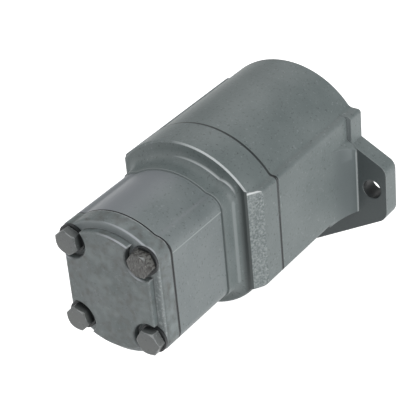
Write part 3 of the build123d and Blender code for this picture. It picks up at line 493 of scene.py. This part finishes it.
def bare_head(paint):
    """The head of the upper right bolt."""
    return combine(paint, near(paint, "X", bolt_out, 12, 1), near(paint, "Z", bolt_up, 12, 1))


def scratched(paint):
    """Long scratches on the bare head, about 1 mm apart and leaning, coarser than real ones."""
    spot = add(paint, "ShaderNodeTexCoord").outputs["Object"]
    lean = add(paint, "ShaderNodeMapping",
               {"Vector": spot, "Rotation": (0, SCRATCH_LEAN, 0), "Scale": (3.0, 1.0, 0.7)})
    lines = add(paint, "ShaderNodeTexNoise",
                {"Vector": lean.outputs["Vector"], "Scale": 460.0, "Detail": 3.0})
    cut = add(paint, "ShaderNodeMapRange", {"Value": lines.outputs["Fac"],
              "From Min": 0.47, "From Max": 0.55})
    return combine(paint, bare_head(paint), cut.outputs["Result"])


def bright_nicks(paint):
    """Small bright nicks on the bare head."""
    return combine(paint, bare_head(paint), flecks(paint, 1.3, 0.68, 0.78))


def head_ridge_highlight(paint):
    """The upper edges of the heads, with a painted highlight."""
    return faces(paint, RIDGE_WAY, 0.955, 0.985)


bolt_mesh.materials.append(enamel(
    "bolt enamel", grain_mm=1.2, grain_depth_mm=0.06, edge_mm=0.9, edge_wear_and_highlight=1.0,
    shades=("#626666", "#6c6f6e"), gloss=(0.34, 0.44),
    zones=[(bare_head, "#61625f"), (scratched, "#302e2c"), (bright_nicks, "#a9a49e"),
           (head_ridge_highlight, "#b4b8b8")]))
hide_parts("cover_bolts")
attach(bolts, "housing")

# ---- cover washers ----------------------------------------------------------------------------
# Round washers under the four heads, stamped from hard steel and blackened in hot salts. They
# look nearly black, with a low gloss; that near-black is partly painted shade around each head.


def dull_skin(name, pale, dark, roughness, mottle_mm):
    """A dull finish that isn't metal to the eye: one tone drifts into another at mottle_mm."""
    skin = new_finish(name)
    spot = add(skin, "ShaderNodeTexCoord").outputs["Object"]
    mottle = add(skin, "ShaderNodeTexNoise", {"Vector": spot, "Scale": 1000 / mottle_mm})
    tone = add(skin, "ShaderNodeMix", {"Factor": mottle.outputs["Fac"], "A": hex_colour(dark),
               "B": hex_colour(pale)}, data_type="RGBA")
    shader = add(skin, "ShaderNodeBsdfPrincipled",
                 {"Base Color": tone.outputs["Result"], "Roughness": roughness})
    add(skin, "ShaderNodeOutputMaterial", {"Surface": shader.outputs["BSDF"]})
    return skin


dress("cover_washers", dull_skin("blackened washer steel and shade", "#2d3133", "#15181a", 0.5, mottle_mm=2))

# ---- joint gaskets ----------------------------------------------------------------------------
# Thin sheets of pressed fibre, cut a hair smaller than the castings and squeezed between them by
# the bolts. The fibre is matt and charcoal, so each joint is a fine dark line.
joint_fibre = dull_skin("joint fibre", "#3a3f3f", "#262a2a", 0.8, mottle_mm=1.11)
dress("body_gasket", joint_fibre)
dress("cover_gasket", joint_fibre)

# ---- shaft, key, dowels and pins --------------------------------------------------------------
# Case-hardened alloy steel, turned and then ground on every seat. Round grinding leaves fine
# rings, so the steel is bright and its highlights are drawn out a little across them.
BANDS_PER_SCALE = 6.3  # light and dark bands in a unit of the wave's scale, about 20 / pi


def ground_steel(name, tone, dark, roughness, band_mm):
    """Ground metal: rings in light and dark bands band_mm wide along the shaft's axis, drawn
    coarser than real grinding so that they show, over two tones that drift in wide clouds."""
    steel = new_finish(name)
    spot = add(steel, "ShaderNodeTexCoord").outputs["Object"]
    rings = add(steel, "ShaderNodeTexWave", {"Vector": spot, "Scale": 1000 / band_mm / BANDS_PER_SCALE,
                "Distortion": 1.5, "Detail": 2.0}, bands_direction="Y")
    cloud = add(steel, "ShaderNodeTexNoise", {"Vector": spot, "Scale": 60.0, "Detail": 3.0})
    colour = add(steel, "ShaderNodeMix", {"Factor": cloud.outputs["Fac"],
                 "A": hex_colour(tone), "B": hex_colour(dark)}, data_type="RGBA")
    relief = add(steel, "ShaderNodeBump", {"Height": rings.outputs["Fac"], "Distance": 0.00001,
                 "Strength": 0.3})
    shader = add(steel, "ShaderNodeBsdfPrincipled",
                 {"Base Color": colour.outputs["Result"], "Roughness": roughness, "Metallic": 1.0,
                  "Normal": relief.outputs["Normal"]})
    add(steel, "ShaderNodeOutputMaterial", {"Surface": shader.outputs["BSDF"]})
    return steel


shaft_steel = ground_steel("ground shaft steel", "#c9cacb", "#b4b6b8", 0.25, band_mm=0.6)
for name in ("drive_shaft", "shaft_key", "body_dowels", "rear_dowels",
             "front_cartridge_pins", "rear_cartridge_pins"):
    dress(name, shaft_steel)

# ---- ball bearing -----------------------------------------------------------------------------
# Rings and balls of through-hardened chrome steel, ground and lapped. They are the brightest
# pieces, almost mirrors.
bearing_steel = ground_steel("polished bearing steel", "#d6d7d8", "#c8cacc", 0.12, band_mm=1.0)
for name in ("bearing_inner_ring", "bearing_outer_ring", "bearing_balls"):
    dress(name, bearing_steel)

# ---- snap rings and disc springs --------------------------------------------------------------
# Stamped from strip steel, hardened and blued by the heat, then snapped or pressed into place.
# The blue oxide makes them dark slate with a soft gloss.
spring_steel = ground_steel("blued spring steel", "#4a4e55", "#3c4046", 0.35, band_mm=1.0)
for name in ("housing_snap_ring", "shaft_snap_ring", "front_disc_spring", "rear_disc_spring"):
    dress(name, spring_steel)

# ---- pumping cartridges -----------------------------------------------------------------------
# Cam rings, rotors and vanes of hardened tool steel, ground on every face that oil runs over.
# The seal's steel case shares their plain grey, a shade darker than the shaft.
tool_steel = ground_steel("hardened cartridge steel", "#b9bbbd", "#a5a8ab", 0.28, band_mm=0.5)
for name in ("front_cam_ring", "rear_cam_ring", "front_rotor", "rear_rotor",
             "front_vanes", "rear_vanes", "seal_case"):
    dress(name, tool_steel)

# ---- cage, bushes and cartridge plates --------------------------------------------------------
# Leaded bronze, cast, turned and lapped, because steel runs on it without seizing. It has a
# warm yellow-brown tone between the steel pieces.
bronze = ground_steel("leaded bronze", "#b08d57", "#9a7846", 0.3, band_mm=0.6)
for name in ("bearing_cage", "centre_bush", "tail_bush", "front_pressure_plate",
             "front_wear_plate", "rear_pressure_plate", "rear_wear_plate"):
    dress(name, bronze)

# ---- shaft seal lip and plate seals -----------------------------------------------------------
# Black nitrile rubber, moulded, and held in grooves or in the seal's case. It is matt black with
# a faint bloom.
nitrile = dull_skin("nitrile rubber", "#26282a", "#191a1b", 0.55, mottle_mm=3.33)
for name in ("seal_lip", "front_pressure_seal", "front_wear_seal",
             "rear_pressure_seal", "rear_wear_seal"):
    dress(name, nitrile)

# ---- floor and studio light -------------------------------------------------------------------
# A sheet of white paper under the pump, in a white room with one large soft light at the right
# and weaker ones around. The sheet glows a little, so it stays white to its edge.
FLOOR_REACH = 4.0
FLOOR_GAP = 0.0005
ROOM_WHITE = (1, 1, 1, 1)
PUMP_MIDDLE = (0, -0.1, 0)
floor_z = cad_box[0][2] - FLOOR_GAP
floor_mesh = bpy.data.meshes.new("floor")
floor_mesh.from_pydata(
    [(-FLOOR_REACH, -FLOOR_REACH, floor_z), (FLOOR_REACH, -FLOOR_REACH, floor_z),
     (FLOOR_REACH, FLOOR_REACH, floor_z), (-FLOOR_REACH, FLOOR_REACH, floor_z)], [], [(0, 1, 2, 3)])
floor = bpy.data.objects.new("floor", floor_mesh)
bpy.context.scene.collection.objects.link(floor)
paper = new_finish("white paper")
sheet = add(paper, "ShaderNodeBsdfPrincipled", {"Base Color": hex_colour("#f4f4f4"), "Roughness": 0.9,
            "Emission Color": ROOM_WHITE, "Emission Strength": 0.85})
add(paper, "ShaderNodeOutputMaterial", {"Surface": sheet.outputs["BSDF"]})
floor_mesh.materials.append(paper)
# The glow isn't thrown back onto the pump, so that its low and rear faces stay dark.
floor.visible_diffuse = False

room = bpy.data.worlds.new("white room")
room.use_nodes = True
room.node_tree.nodes["Background"].inputs["Color"].default_value = ROOM_WHITE
room.node_tree.nodes["Background"].inputs["Strength"].default_value = 0.40
bpy.context.scene.world = room


def softbox(name, place, size, watts):
    """A square area light at a place, facing the middle of the pump."""
    lamp = bpy.data.lights.new(name, "AREA")
    lamp.size = size
    lamp.energy = watts
    holder = bpy.data.objects.new(name, lamp)
    way = Vector(PUMP_MIDDLE) - Vector(place)
    holder.matrix_world = Matrix.Translation(place) @ way.to_track_quat("-Z", "Y").to_matrix().to_4x4()
    bpy.context.scene.collection.objects.link(holder)


softbox("right light", (1.5, -0.1, 0.5), size=0.9, watts=10.5)
softbox("right rear light", (1.2, -0.8, 0.4), size=0.8, watts=1)
softbox("left light", (-1.2, -0.9, 0.6), size=0.9, watts=4)
softbox("back light", (-0.6, 1.2, 1.0), size=0.7, watts=2)
softbox("top light", (-0.2, -0.1, 1.6), size=0.9, watts=2.4)
softbox("rear top light", (-0.3, -0.9, 1.3), size=0.8, watts=1)

# ---- camera -----------------------------------------------------------------------------------
# It looks down the pump from behind the rear cover, well to the right and above, with a long
# lens, so that the cover, the right side and the top show. It is rolled a little.
CAMERA_PLACE = (0.5577, -0.8433, 0.5658)
AZIMUTH, ELEVATION, ROLL = radians(37.19), radians(31.5), radians(-5.42)
lens = bpy.data.cameras.new("camera")
lens.lens = 138.46
lens.sensor_width = 36.0
lens.clip_start = 0.05
camera = bpy.data.objects.new("camera", lens)
aim = (Matrix.Rotation(AZIMUTH, 4, "Z") @ Matrix.Rotation(radians(90) - ELEVATION, 4, "X")
       @ Matrix.Rotation(ROLL, 4, "Z"))
camera.matrix_world = Matrix.Translation(CAMERA_PLACE) @ aim
bpy.context.scene.collection.objects.link(camera)
bpy.context.scene.camera = camera
bpy.context.scene.view_settings.view_transform = "Standard"
